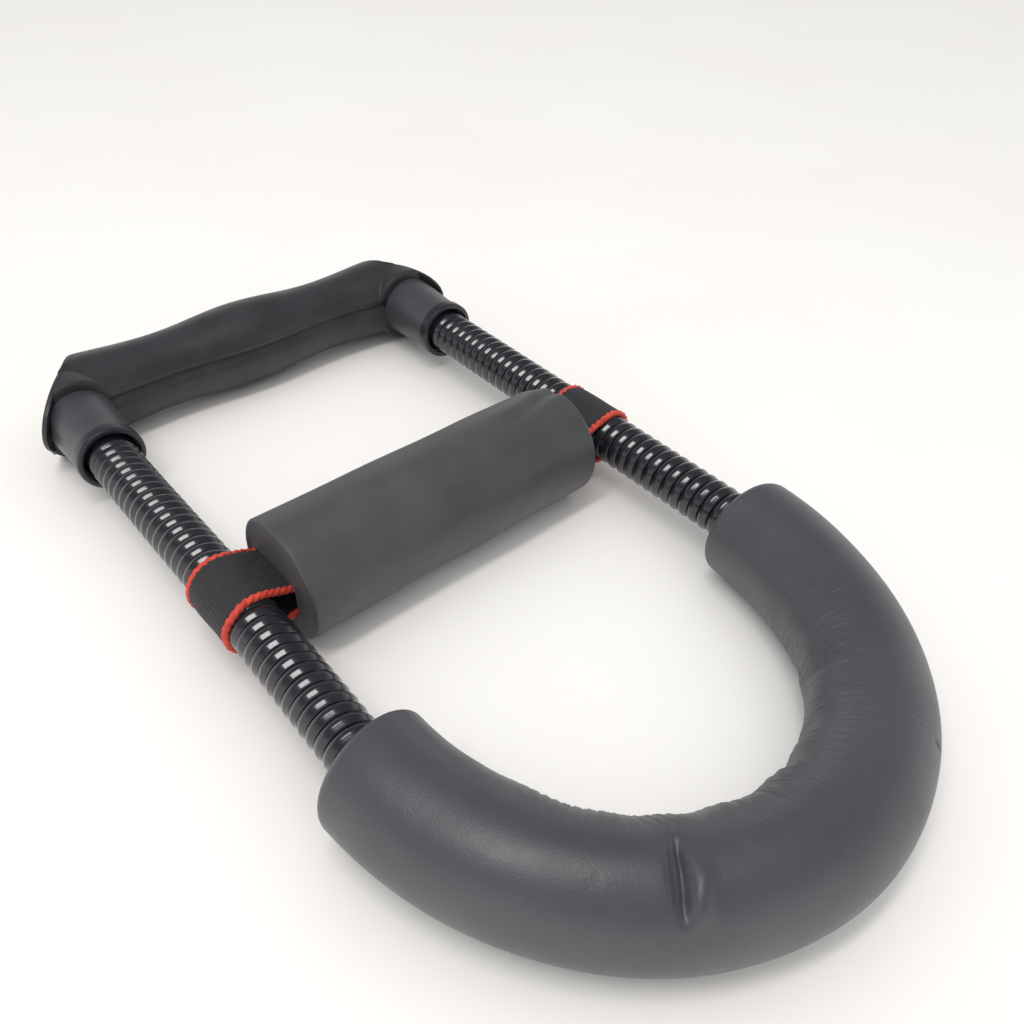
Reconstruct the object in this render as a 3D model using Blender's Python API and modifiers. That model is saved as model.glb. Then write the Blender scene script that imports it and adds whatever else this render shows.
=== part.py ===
"""Wrist trainer: a padded arm brace, two long springs, a wrist roll on a webbing strap and a handle.

Metres, +Z up. X runs across the springs, +Y runs along them from the arm brace to the handle, and the
trainer lies on the plane Z = 0. The origin is under the middle of its length.
"""
import math

import bmesh
import bpy
from mathutils import Matrix, Vector

# Clearances
TOUCH = 0.0003
RUNNING = 0.0008
EDGE_BREAK = 0.0005
CUT_REACH = 0.2

# Springs
SPRING_SPACING = 0.144
SPRING_OUTER = 0.017
WIRE = 0.0037
PITCH = 0.0042
FREE_LENGTH = 0.156
TURNS_IN_FOAM = 1.5
TURNS_IN_SOCKET = 3.0
POINTS_PER_TURN = 8
TAIL_BEND = 0.0026
TAIL_STRAIGHT = WIRE

# Arm brace
FOAM_DIAMETER = 0.0345
FOAM_FLAT = 0.0005
FOAM_END_ROUND = 0.0025
FOAM_END_SLANT = math.radians(8)
FOAM_END_DROP = 0.0024
FOAM_END_LENGTH = 0.0076
BOW_DEPTH = 0.0846
ROD_DIAMETER = 0.008
ROD_IN_SPRING = 0.016
SEAT_THICKNESS = 0.004
STUD_STEPS = 16

# Wrist roll and strap
ROLL_DIAMETER = 0.0398
ROLL_END_TO_SPRING = 0.00775
ROLL_SHIFT = -0.0024
ROLL_FROM_FOAM = 0.0662
ROLL_END_ROUND = 0.0015
ROLL_STEPS = 36
STRAP_WIDTH = 0.0226
STRAP_THICKNESS = 0.0016
SLOT_HEIGHT = 0.012
SLOT_DROP = 0.0049
STRAP_FROM_ROLL = 0.003
LAP_LENGTH = 0.040

# Handle
GRIP_FROM_MOUTH = 0.044
GRIP_WAIST = 0.0287
GRIP_SWELL = 0.0330
GRIP_SHOULDER = 0.0326
GRIP_WAIST_FROM_MIDDLE = 0.035
GRIP_SHOULDER_FROM_MIDDLE = 0.074
GRIP_PAST_ELBOW_AXIS = 0.013
GRIP_STEPS = 24
SPLIT_RISE = 0.0032
LOWER_SHELL_STEP = 0.0005
ELBOW_DIAMETER = 0.0312
ELBOW_FRONT_FROM_MOUTH = 0.0293
ELBOW_LIP_ROUND = 0.0012
HANDLE_ROD_LENGTH = 0.104
MITRE_ANGLE = math.radians(36.4)
MITRE_LEAN = math.radians(11.5)
MITRE_FROM_CORNER = 0.0024
END_CAP_THICKNESS = 0.003
END_CAP_LIP = 0.0003
CAP_STEPS = 36
SOCKET_DIAMETER = 0.0224
SOCKET_FLARE = 0.0012
SOCKET_FLARE_LENGTH = 0.008
SOCKET_SPIGOT = 0.0055
STUD_TAIL_DIAMETER = 0.006
STUD_TAIL_LENGTH = 0.0058
SOCKET_STEPS = 22
POCKET_AHEAD = 0.003
COLLAR_DIAMETER = 0.0240
COLLAR_LENGTH = 0.0042
COLLAR_BORE = 0.0196
COLLAR_ROUND = 0.0014
COLLAR_FLOOR = 0.0020
SCREW_DIAMETER = 0.003
SCREW_HEAD_DIAMETER = 0.0056
SCREW_HEAD_HEIGHT = 0.0024
SCREW_LENGTH = 0.018
SCREW_FROM_AXIS = 0.0088
SCREW_SPACING = 0.036
SCREW_POINT = 0.002
SCREW_BORE_BELOW = 0.01
SCREW_STEPS = 12

# Places worked out from the sizes
SPRING_X = SPRING_SPACING / 2
SPRING_RADIUS = SPRING_OUTER / 2
COIL_RADIUS = (SPRING_OUTER - WIRE) / 2
FOAM_RADIUS = FOAM_DIAMETER / 2
AXIS_Z = FOAM_RADIUS - FOAM_FLAT
ROD_RADIUS = ROD_DIAMETER / 2
GRIP_BACK = FREE_LENGTH + GRIP_FROM_MOUTH + max(GRIP_SWELL, GRIP_SHOULDER) / 2
BOW_FRONT = BOW_DEPTH + FOAM_RADIUS
FOAM_Y = (BOW_FRONT - GRIP_BACK) / 2
MOUTH_Y = FOAM_Y + FREE_LENGTH
GRIP_Y = MOUTH_Y + GRIP_FROM_MOUTH
ROLL_LENGTH = SPRING_SPACING - SPRING_OUTER - 2 * ROLL_END_TO_SPRING
ROLL_Y = FOAM_Y + ROLL_FROM_FOAM
ROLL_Z = ROLL_DIAMETER / 2 + TOUCH
STRAP_Y = ROLL_Y + STRAP_FROM_ROLL
ELBOW_Y = MOUTH_Y + ELBOW_FRONT_FROM_MOUTH
SPLIT_Z = AXIS_Z + SPLIT_RISE
COIL_START_Y = FOAM_Y - TURNS_IN_FOAM * PITCH
COIL_END_Y = MOUTH_Y + TURNS_IN_SOCKET * PITCH
TAIL_LENGTH = TAIL_BEND + TAIL_STRAIGHT
ARM_SEAT_Y = COIL_START_Y - TAIL_LENGTH - TOUCH
STUD_Y = COIL_END_Y + TAIL_LENGTH + TOUCH
SCREW_LOW = AXIS_Z - SCREW_LENGTH / 2
SIDES = (("left", -1), ("right", 1))

MODEL = bpy.data.collections.new("wrist_trainer")
CUTTERS = bpy.data.collections.new("cutters")


def clear_scene():
    for item in list(bpy.data.objects):
        bpy.data.objects.remove(item, do_unlink=True)
    bpy.context.scene.collection.children.link(MODEL)
    bpy.context.scene.collection.children.link(CUTTERS)


def material(name, colour, roughness, metallic=0.0):
    made = bpy.data.materials.new(name)
    made.use_nodes = True
    shader = made.node_tree.nodes["Principled BSDF"]
    shader.inputs["Base Color"].default_value = (*colour, 1.0)
    shader.inputs["Roughness"].default_value = roughness
    shader.inputs["Metallic"].default_value = metallic
    return made


def materials():
    return {
        "foam": material("charcoal_foam", (0.045, 0.047, 0.053), 0.62),
        "roll": material("wrist_roll_foam", (0.050, 0.052, 0.058), 0.66),
        "webbing": material("black_webbing", (0.022, 0.022, 0.024), 0.85),
        "enamel": material("black_enamel", (0.012, 0.012, 0.015), 0.16),
        "steel": material("bright_steel", (0.56, 0.57, 0.58), 0.32, 1.0),
        "grip": material("grip_plastic", (0.030, 0.031, 0.034), 0.48),
        "socket": material("socket_plastic", (0.022, 0.022, 0.026), 0.26),
    }


def place(item, name, look=None, cutter=False):
    """Names an object, gives it its material and puts it in its collection."""
    item.name = name
    item.data.name = name
    for home in list(item.users_collection):
        home.objects.unlink(item)
    (CUTTERS if cutter else MODEL).objects.link(item)
    if cutter:
        item.hide_render = True
        item.display_type = "WIRE"
    if look is not None:
        item.data.materials.clear()
        item.data.materials.append(look)
    return item


def smooth(item, angle=math.radians(35)):
    item.data.shade_smooth()
    item.data.set_sharp_from_angle(angle=angle)


def turned(name, profile, steps, look=None, cutter=False, closed=False):
    """A turned piece about its own Z. The profile holds (radius, height), top to bottom outside."""
    mesh = bpy.data.meshes.new(name)
    count = len(profile)
    start = math.pi / steps
    edges = [(k, k + 1) for k in range(count - 1)]
    if closed:
        edges.append((count - 1, 0))
    corners = [(radius * math.cos(start), radius * math.sin(start), height) for radius, height in profile]
    mesh.from_pydata(corners, edges, [])
    item = bpy.data.objects.new(name, mesh)
    bpy.context.scene.collection.objects.link(item)
    screw = item.modifiers.new("turn", "SCREW")
    screw.axis = "Z"
    screw.steps = steps
    screw.render_steps = steps
    screw.use_merge_vertices = True
    screw.merge_threshold = 0.00001
    screw.use_smooth_shade = True
    return place(item, name, look, cutter)


def lay_along_y(item, x, y, z):
    """Turns a piece so that its own +Z points along +Y."""
    item.rotation_euler = (-math.pi / 2, 0.0, 0.0)
    item.location = (x, y, z)


def lay_along_x(item, x, y, z):
    """Turns a piece so that its own +Z points along +X."""
    item.rotation_euler = (math.pi / 2, 0.0, math.pi / 2)
    item.location = (x, y, z)


def box(name, low, high, look=None, cutter=False):
    middle = [(a + b) / 2 for a, b in zip(low, high)]
    bpy.ops.mesh.primitive_cube_add(size=1.0, location=middle)
    item = bpy.context.active_object
    item.scale = [b - a for a, b in zip(low, high)]
    bpy.ops.object.transform_apply(location=False, rotation=False, scale=True)
    return place(item, name, look, cutter)


def level_cut(name, low, high):
    """A wide cutter between two heights."""
    return box(name, (-CUT_REACH, -CUT_REACH, low), (CUT_REACH, CUT_REACH, high), cutter=True)


def as_mesh(curve_item, name, look=None, cutter=False):
    """Makes a curve a closed mesh, because a curve takes no Boolean."""
    graph = bpy.context.evaluated_depsgraph_get()
    mesh = bpy.data.meshes.new_from_object(curve_item.evaluated_get(graph))
    work = bmesh.new()
    work.from_mesh(mesh)
    bmesh.ops.remove_doubles(work, verts=work.verts, dist=0.000001)
    bmesh.ops.recalc_face_normals(work, faces=work.faces)
    work.to_mesh(mesh)
    work.free()
    item = bpy.data.objects.new(name, mesh)
    item.matrix_world = curve_item.matrix_world
    bpy.context.scene.collection.objects.link(item)
    bpy.data.objects.remove(curve_item, do_unlink=True)
    return place(item, name, look, cutter)


def tube(name, points, radius, sides_step, look=None, cutter=False, shares=None):
    """A round tube along points. Shares, where given, widen or narrow it at each point."""
    data = bpy.data.curves.new(name, "CURVE")
    data.dimensions = "3D"
    data.bevel_depth = radius
    data.bevel_resolution = sides_step
    data.use_fill_caps = True
    data.twist_mode = "MINIMUM"
    spline = data.splines.new("POLY")
    spline.points.add(len(points) - 1)
    for k, point in enumerate(points):
        spline.points[k].co = (*point, 1.0)
        spline.points[k].radius = shares[k] if shares else 1.0
    item = bpy.data.objects.new(name, data)
    bpy.context.scene.collection.objects.link(item)
    bpy.context.view_layer.update()
    return as_mesh(item, name, look, cutter)


def boolean(item, other, operation="DIFFERENCE"):
    step = item.modifiers.new(f"{operation.lower()}_{other.name}", "BOOLEAN")
    step.object = other
    step.operation = operation
    step.solver = "EXACT"


def bow_point(turn, y_start, depth, half_width):
    """A point of the half ellipse that the arm brace follows, from the right leg to the left."""
    return (half_width * math.cos(turn), y_start - depth * math.sin(turn), AXIS_Z)


def arm_rod_path():
    """Straight legs out of the springs, past the seats, then a half ellipse."""
    leg_end = ARM_SEAT_Y - SEAT_THICKNESS
    depth = BOW_DEPTH - (FOAM_Y - leg_end)
    steps = 24
    bow = [bow_point(math.pi * k / steps, leg_end, depth, SPRING_X) for k in range(steps + 1)]
    start = (SPRING_X, FOAM_Y + ROD_IN_SPRING, AXIS_Z)
    end = (-SPRING_X, FOAM_Y + ROD_IN_SPRING, AXIS_Z)
    return [start] + bow + [end]


def foam_path():
    """The foam's centre line and its share of the full radius at each point, with slanted, rounded ends."""
    steps = 30
    rounding = 3
    points = []
    shares = []
    for k in range(rounding):
        turn = math.pi / 2 * k / rounding
        along = FOAM_END_ROUND * (1 - math.cos(turn))
        end_y = FOAM_Y - FOAM_END_DROP - along * math.cos(FOAM_END_SLANT)
        points.append((SPRING_X - along * math.sin(FOAM_END_SLANT), end_y, AXIS_Z))
        shares.append(1 - FOAM_END_ROUND * (1 - math.sin(turn)) / FOAM_RADIUS)
    first = math.asin(FOAM_END_LENGTH / BOW_DEPTH)
    for k in range(steps + 1):
        turn = first + (math.pi - 2 * first) * k / steps
        points.append(bow_point(turn, FOAM_Y, BOW_DEPTH, SPRING_X))
        shares.append(1.0)
    for k in reversed(range(rounding)):
        x, y, z = points[k]
        points.append((-x, y, z))
        shares.append(shares[k])
    return points, shares


def spring_path(x):
    """The wire's centre line: a tail, the coil and a tail, all on one cylinder about the spring's axis."""
    turns = (COIL_END_Y - COIL_START_Y) / PITCH
    steps = round(turns * POINTS_PER_TURN)
    whole = 2 * math.pi * turns
    bend_steps = 3
    turn_of_bend = TAIL_BEND / COIL_RADIUS
    places = []
    for k in range(bend_steps):
        lean = math.pi / 2 * (1 - k / bend_steps)
        places.append((-turn_of_bend * math.sin(lean), COIL_START_Y - TAIL_BEND * (1 - math.cos(lean))))
    places.insert(0, (places[0][0], COIL_START_Y - TAIL_LENGTH))
    for k in range(steps + 1):
        places.append((whole * k / steps, COIL_START_Y + (COIL_END_Y - COIL_START_Y) * k / steps))
    for k in range(1, bend_steps + 1):
        lean = math.pi / 2 * k / bend_steps
        places.append((whole + turn_of_bend * math.sin(lean), COIL_END_Y + TAIL_BEND * (1 - math.cos(lean))))
    places.append((places[-1][0], COIL_END_Y + TAIL_LENGTH))
    return [
        (x + COIL_RADIUS * math.cos(turn), y, AXIS_Z + COIL_RADIUS * math.sin(turn))
        for turn, y in places
    ]


def least_gap(points):
    """The least clear gap between a spring's wire and itself, over points half a turn apart or more."""
    apart = POINTS_PER_TURN // 2
    least = min(
        (Vector(points[j]) - Vector(points[k])).length
        for k in range(len(points))
        for j in range(k + apart, min(k + 3 * POINTS_PER_TURN, len(points)))
    )
    return least - WIRE


def ring(name, outer, bore, thickness, look):
    """A flat ring from its own Z = 0 upwards, with its outer edges broken."""
    profile = [
        (bore, thickness),
        (outer - EDGE_BREAK, thickness),
        (outer, thickness - EDGE_BREAK),
        (outer, EDGE_BREAK),
        (outer - EDGE_BREAK, 0.0),
        (bore, 0.0),
    ]
    return turned(name, profile, STUD_STEPS, look, closed=True)


def make_springs(look):
    for side, sign in SIDES:
        points = spring_path(sign * SPRING_X)
        spring = tube(f"{side}_spring", points, WIRE / 2, 1, look)
        smooth(spring, math.radians(80))
        print(f"{side} spring: least gap to itself {least_gap(points) * 1000:.2f} mm")


def make_arm_brace(looks):
    rod = tube("arm_rod", arm_rod_path(), ROD_RADIUS, 2, looks["steel"])
    smooth(rod)
    for side, sign in SIDES:
        seat = ring(f"{side}_arm_seat", SPRING_RADIUS, ROD_RADIUS + TOUCH, SEAT_THICKNESS, looks["steel"])
        lay_along_y(seat, sign * SPRING_X, ARM_SEAT_Y - SEAT_THICKNESS, AXIS_Z)
    points, shares = foam_path()
    foam = tube("arm_foam", points, FOAM_RADIUS, 6, looks["foam"], shares=shares)
    channel = tube("arm_rod_channel", arm_rod_path(), ROD_RADIUS + TOUCH, 2, cutter=True)
    boolean(foam, channel)
    pocket_end = ARM_SEAT_Y - SEAT_THICKNESS - TOUCH
    for side, sign in SIDES:
        radius = SPRING_RADIUS + TOUCH
        height = FOAM_Y + RUNNING - pocket_end
        profile = [(0.0, height), (radius, height), (radius, 0.0), (0.0, 0.0)]
        pocket = turned(f"{side}_foam_pocket", profile, STUD_STEPS, cutter=True)
        lay_along_y(pocket, sign * SPRING_X, pocket_end, AXIS_Z)
        boolean(foam, pocket)
    boolean(foam, level_cut("foam_floor_cut", -CUT_REACH, 0.0))
    smooth(foam)


def strap_loop(roll_end, top, bottom):
    """The strap's line round the right spring, from below the roll's end to above it."""
    reach = SPRING_RADIUS + TOUCH + STRAP_THICKNESS / 2
    away = SPRING_X - roll_end
    steps = 16
    upper = math.atan2(top - AXIS_Z, -away) - math.acos(reach / math.hypot(away, top - AXIS_Z))
    lower = math.atan2(bottom - AXIS_Z, -away) + math.acos(reach / math.hypot(away, bottom - AXIS_Z))
    turns = [lower + (upper - lower) * k / steps for k in range(steps + 1)]
    loop = [(SPRING_X + reach * math.cos(a), AXIS_Z + reach * math.sin(a)) for a in turns]
    return [(roll_end, bottom)] + loop + [(roll_end, top)]


def strap_centre_line():
    """The strap's loop in X and Z: round both springs, and flat through the roll's slot."""
    inset = TOUCH + STRAP_THICKNESS / 2
    slot_z = ROLL_Z - SLOT_DROP
    top = slot_z + SLOT_HEIGHT / 2 - inset
    bottom = slot_z - SLOT_HEIGHT / 2 + inset
    right = strap_loop(ROLL_LENGTH / 2 + ROLL_SHIFT, top, bottom)
    left = strap_loop(ROLL_LENGTH / 2 - ROLL_SHIFT, top, bottom)
    return right + [(-x, z) for x, z in reversed(left)]


def offset_loop(loop, distance):
    """Moves a closed loop outwards by a distance, with mitred corners."""
    count = len(loop)
    moved = []
    for k in range(count):
        before, here, after = Vector(loop[k - 1]), Vector(loop[k]), Vector(loop[(k + 1) % count])
        first = (here - before).normalized()
        second = (after - here).normalized()
        normal_1 = Vector((first.y, -first.x))
        normal_2 = Vector((second.y, -second.x))
        mitre = (normal_1 + normal_2).normalized()
        moved.append(here + mitre * distance / mitre.dot(normal_1))
    return moved


def make_wrist_pad(looks):
    half = ROLL_LENGTH / 2
    radius = ROLL_DIAMETER / 2
    rounding = 3
    corner = [
        (radius - ROLL_END_ROUND * (1 - math.sin(math.pi / 2 * k / rounding)),
         ROLL_LENGTH - ROLL_END_ROUND * (1 - math.cos(math.pi / 2 * k / rounding)))
        for k in range(rounding + 1)
    ]
    other = [(r, ROLL_LENGTH - h) for r, h in reversed(corner)]
    profile = [(0.0, ROLL_LENGTH)] + corner + other + [(0.0, 0.0)]
    roll = turned("wrist_roll", profile, ROLL_STEPS, looks["roll"])
    lay_along_x(roll, ROLL_SHIFT - half, ROLL_Y, ROLL_Z)
    slot_z = ROLL_Z - SLOT_DROP
    slot_half = STRAP_WIDTH / 2 + TOUCH
    slot = box(
        "roll_slot",
        (-ROLL_LENGTH, STRAP_Y - slot_half, slot_z - SLOT_HEIGHT / 2),
        (ROLL_LENGTH, STRAP_Y + slot_half, slot_z + SLOT_HEIGHT / 2),
        cutter=True,
    )
    boolean(roll, slot)

    data = bpy.data.curves.new("wrist_strap", "CURVE")
    data.dimensions = "2D"
    data.fill_mode = "BOTH"
    data.extrude = STRAP_WIDTH / 2
    for distance in (STRAP_THICKNESS / 2, -STRAP_THICKNESS / 2):
        loop = offset_loop(strap_centre_line(), distance)
        spline = data.splines.new("POLY")
        spline.points.add(len(loop) - 1)
        spline.use_cyclic_u = True
        for k, point in enumerate(loop):
            spline.points[k].co = (point[0], point[1], 0.0, 1.0)
    item = bpy.data.objects.new("wrist_strap", data)
    bpy.context.scene.collection.objects.link(item)
    item.matrix_world = Matrix.Translation((0.0, STRAP_Y, 0.0)) @ Matrix.Rotation(math.pi / 2, 4, "X")
    bpy.context.view_layer.update()
    as_mesh(item, "wrist_strap", looks["webbing"])

    lap_low = slot_z - SLOT_HEIGHT / 2 + TOUCH + STRAP_THICKNESS + TOUCH
    box(
        "strap_lap",
        (-LAP_LENGTH / 2, STRAP_Y - STRAP_WIDTH / 2, lap_low),
        (LAP_LENGTH / 2, STRAP_Y + STRAP_WIDTH / 2, lap_low + STRAP_THICKNESS),
        looks["webbing"],
    )


def grip_radius(x):
    """The grip's radius: a swell in the palm, a waist each side and a shoulder towards each elbow."""
    away = abs(x)
    if away <= GRIP_WAIST_FROM_MIDDLE:
        share = 0.5 - 0.5 * math.cos(math.pi * away / GRIP_WAIST_FROM_MIDDLE)
        return (GRIP_SWELL + (GRIP_WAIST - GRIP_SWELL) * share) / 2
    span = GRIP_SHOULDER_FROM_MIDDLE - GRIP_WAIST_FROM_MIDDLE
    share = 0.5 - 0.5 * math.cos(math.pi * min(1.0, (away - GRIP_WAIST_FROM_MIDDLE) / span))
    return (GRIP_WAIST + (GRIP_SHOULDER - GRIP_WAIST) * share) / 2


def grip_core(name, thinner, look):
    """The grip turned about its length, and an elbow cylinder at each end, joined."""
    reach = SPRING_X + GRIP_PAST_ELBOW_AXIS
    stations = 20
    places = [reach - 2 * reach * k / stations for k in range(stations + 1)]
    profile = [(0.0, reach)] + [(grip_radius(x) - thinner, x) for x in places] + [(0.0, -reach)]
    grip = turned(name, profile, GRIP_STEPS, look)
    lay_along_x(grip, 0.0, GRIP_Y, AXIS_Z)
    radius = ELBOW_DIAMETER / 2 - thinner
    height = GRIP_Y - ELBOW_Y
    lip = ELBOW_LIP_ROUND
    profile = [
        (0.0, height),
        (radius, height),
        (radius, lip),
        (radius - lip * 0.3, lip * 0.3),
        (radius - lip, 0.0),
        (0.0, 0.0),
    ]
    for side, sign in SIDES:
        elbow = turned(f"{name}_{side}_elbow", profile, GRIP_STEPS, cutter=True)
        lay_along_y(elbow, sign * SPRING_X, ELBOW_Y, AXIS_Z)
        boolean(grip, elbow, "UNION")
    return grip


def mitre_point(sign):
    """The point of an elbow's slanted end face that is nearest the elbow's corner."""
    corner = Vector((sign * SPRING_X, GRIP_Y, AXIS_Z))
    return corner - mitre_normal(sign) * MITRE_FROM_CORNER


def mitre_normal(sign):
    level = math.cos(MITRE_LEAN)
    return Vector((sign * math.cos(MITRE_ANGLE) * level, math.sin(MITRE_ANGLE) * level, math.sin(MITRE_LEAN)))


def mitre_box(name, sign, start, depth):
    """A large block whose face lies on the slanted end face, moved outwards by start."""
    bpy.ops.mesh.primitive_cube_add(size=1.0)
    item = bpy.context.active_object
    item.scale = (depth, CUT_REACH, CUT_REACH)
    bpy.ops.object.transform_apply(location=False, rotation=False, scale=True)
    normal = mitre_normal(sign)
    item.rotation_euler = normal.to_track_quat("X", "Z").to_euler()
    item.location = mitre_point(sign) + normal * (start + depth / 2)
    return place(item, name, cutter=True)


def screw_places():
    return [(f"grip_screw_{k + 1}", (k - 1) * SCREW_SPACING) for k in range(3)]


def grip_cutters():
    """The cutters that both shells share: slanted ends, rod channel, socket pockets, screw bores, floor."""
    cutters = [mitre_box(f"{side}_mitre_cut", sign, 0.0, CUT_REACH) for side, sign in SIDES]
    half = HANDLE_ROD_LENGTH / 2 + TOUCH
    channel_ends = [(-half, GRIP_Y, SPLIT_Z), (half, GRIP_Y, SPLIT_Z)]
    cutters.append(tube("handle_rod_channel", channel_ends, ROD_RADIUS + TOUCH, 2, cutter=True))
    radius = SOCKET_DIAMETER / 2 + TOUCH
    depth = SOCKET_SPIGOT + TOUCH
    wide = radius + SOCKET_FLARE
    profile = [
        (0.0, depth),
        (radius, depth),
        (radius, 0.0),
        (wide, 0.0),
        (wide, -POCKET_AHEAD),
        (0.0, -POCKET_AHEAD),
    ]
    for side, sign in SIDES:
        pocket = turned(f"{side}_socket_pocket", profile, SOCKET_STEPS, cutter=True)
        lay_along_y(pocket, sign * SPRING_X, ELBOW_Y, AXIS_Z)
        cutters.append(pocket)
    head = SCREW_HEAD_DIAMETER / 2 + TOUCH
    shank = SCREW_DIAMETER / 2 + TOUCH
    top = SCREW_LOW + SCREW_LENGTH + TOUCH
    step = SCREW_LOW + SCREW_HEAD_HEIGHT + TOUCH
    low = -SCREW_BORE_BELOW
    profile = [(0.0, top), (shank, top), (shank, step), (head, step), (head, low), (0.0, low)]
    for name, x in screw_places():
        bore = turned(f"{name}_bore", profile, SCREW_STEPS, cutter=True)
        bore.location = (x, GRIP_Y + SCREW_FROM_AXIS, 0.0)
        cutters.append(bore)
    cutters.append(level_cut("handle_floor_cut", -CUT_REACH, 0.0))
    return cutters


def make_grip(look):
    cutters = grip_cutters()
    below = level_cut("upper_shell_split", -CUT_REACH, SPLIT_Z + TOUCH / 2)
    above = level_cut("lower_shell_split", SPLIT_Z - TOUCH / 2, CUT_REACH)
    for name, thinner, split in (("grip_upper", 0.0, below), ("grip_lower", LOWER_SHELL_STEP, above)):
        shell = grip_core(name, thinner, look)
        for cutter in cutters + [split]:
            boolean(shell, cutter)


def make_end_caps(look):
    """A slanted plate over each end of the grip: the outline of bar and elbow, with a small lip."""
    bar_radius = GRIP_SHOULDER / 2 + END_CAP_LIP
    elbow_radius = ELBOW_DIAMETER / 2 + END_CAP_LIP
    for side, sign in SIDES:
        profile = [(0.0, CUT_REACH), (bar_radius, CUT_REACH), (bar_radius, 0.0), (0.0, 0.0)]
        cap = turned(f"{side}_end_cap", profile, CAP_STEPS, look)
        lay_along_x(cap, min(0.0, sign * CUT_REACH), GRIP_Y, AXIS_Z)
        profile = [(0.0, CUT_REACH), (elbow_radius, CUT_REACH), (elbow_radius, 0.0), (0.0, 0.0)]
        elbow = turned(f"{side}_cap_elbow", profile, CAP_STEPS, cutter=True)
        lay_along_y(elbow, sign * SPRING_X, GRIP_Y - CUT_REACH, AXIS_Z)
        boolean(cap, elbow, "UNION")
        slab = mitre_box(f"{side}_cap_slab", sign, TOUCH, END_CAP_THICKNESS)
        boolean(cap, slab, "INTERSECT")
        boolean(cap, bpy.data.objects["handle_floor_cut"])


def make_sockets(look):
    """A tube over each spring's end, mitred like the shells, and a collar over its mouth."""
    outer = SOCKET_DIAMETER / 2
    bore = SPRING_RADIUS + RUNNING
    mouth = MOUTH_Y + COLLAR_FLOOR + TOUCH
    length = ELBOW_Y + SOCKET_SPIGOT - mouth
    front = ELBOW_Y - mouth
    floor = STUD_Y + SEAT_THICKNESS + TOUCH - mouth
    tail_bore = STUD_TAIL_DIAMETER / 2 + TOUCH
    tail_end = floor + STUD_TAIL_LENGTH
    profile = [
        (0.0, length),
        (outer, length),
        (outer, front - TOUCH),
        (outer + SOCKET_FLARE, front - TOUCH),
        (outer + SOCKET_FLARE * 0.8, front - SOCKET_FLARE_LENGTH * 0.2),
        (outer + SOCKET_FLARE * 0.25, front - SOCKET_FLARE_LENGTH * 0.5),
        (outer, front - SOCKET_FLARE_LENGTH),
        (outer, 0.0),
        (bore, 0.0),
        (bore, floor),
        (tail_bore, floor),
        (tail_bore, tail_end),
        (0.0, tail_end),
    ]
    for side, sign in SIDES:
        socket = turned(f"{side}_socket", profile, SOCKET_STEPS, look)
        lay_along_y(socket, sign * SPRING_X, mouth, AXIS_Z)
        boolean(socket, bpy.data.objects[f"{side}_mitre_cut"])

    ring_outer = COLLAR_DIAMETER / 2
    ring_bore = COLLAR_BORE / 2
    seat = outer + TOUCH
    r = COLLAR_ROUND
    profile = [
        (seat, COLLAR_LENGTH),
        (ring_outer, COLLAR_LENGTH),
        (ring_outer, r),
        (ring_outer - r * 0.3, r * 0.3),
        (ring_outer - r, 0.0),
        (ring_bore + EDGE_BREAK, 0.0),
        (ring_bore, EDGE_BREAK),
        (ring_bore, COLLAR_FLOOR),
        (seat, COLLAR_FLOOR),
    ]
    for side, sign in SIDES:
        collar = turned(f"{side}_collar", profile, SOCKET_STEPS, look, closed=True)
        lay_along_y(collar, sign * SPRING_X, MOUTH_Y, AXIS_Z)


def make_handle_metal(look):
    """The straight rod through the grip, and a stud in each spring's end with a flange and a tail."""
    half = HANDLE_ROD_LENGTH / 2
    rod = tube("handle_rod", [(-half, GRIP_Y, SPLIT_Z), (half, GRIP_Y, SPLIT_Z)], ROD_RADIUS, 2, look)
    smooth(rod)
    shaft = STUD_Y - MOUTH_Y + ROD_IN_SPRING
    flange = shaft + SEAT_THICKNESS
    tail_end = flange + STUD_TAIL_LENGTH
    tail = STUD_TAIL_DIAMETER / 2
    profile = [
        (0.0, tail_end),
        (tail, tail_end),
        (tail, flange),
        (SPRING_RADIUS - EDGE_BREAK, flange),
        (SPRING_RADIUS, flange - EDGE_BREAK),
        (SPRING_RADIUS, shaft),
        (ROD_RADIUS, shaft),
        (ROD_RADIUS, EDGE_BREAK),
        (ROD_RADIUS - EDGE_BREAK, 0.0),
        (0.0, 0.0),
    ]
    for side, sign in SIDES:
        stud = turned(f"{side}_handle_stud", profile, STUD_STEPS, look)
        lay_along_y(stud, sign * SPRING_X, MOUTH_Y - ROD_IN_SPRING, AXIS_Z)


def make_screws(look):
    head = SCREW_HEAD_DIAMETER / 2
    shank = SCREW_DIAMETER / 2
    top = SCREW_LOW + SCREW_LENGTH
    step = SCREW_LOW + SCREW_HEAD_HEIGHT
    profile = [
        (0.0, top),
        (shank * 0.4, top),
        (shank, top - SCREW_POINT),
        (shank, step),
        (head, step),
        (head, SCREW_LOW + EDGE_BREAK),
        (head - EDGE_BREAK, SCREW_LOW),
        (0.0, SCREW_LOW),
    ]
    for name, x in screw_places():
        screw = turned(name, profile, SCREW_STEPS, look)
        screw.location = (x, GRIP_Y + SCREW_FROM_AXIS, 0.0)


def main():
    clear_scene()
    looks = materials()
    make_springs(looks["enamel"])
    make_arm_brace(looks)
    make_wrist_pad(looks)
    make_grip(looks["grip"])
    make_end_caps(looks["grip"])
    make_sockets(looks["socket"])
    make_handle_metal(looks["steel"])
    make_screws(looks["steel"])


main()
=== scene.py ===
"""Looks of the wrist trainer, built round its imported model.

Metres, in the model's own frame: X across the springs, Y along them towards the handle, Z up.
"""
import math
import random

import bpy
import numpy as np
from mathutils import Matrix, Vector


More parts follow.
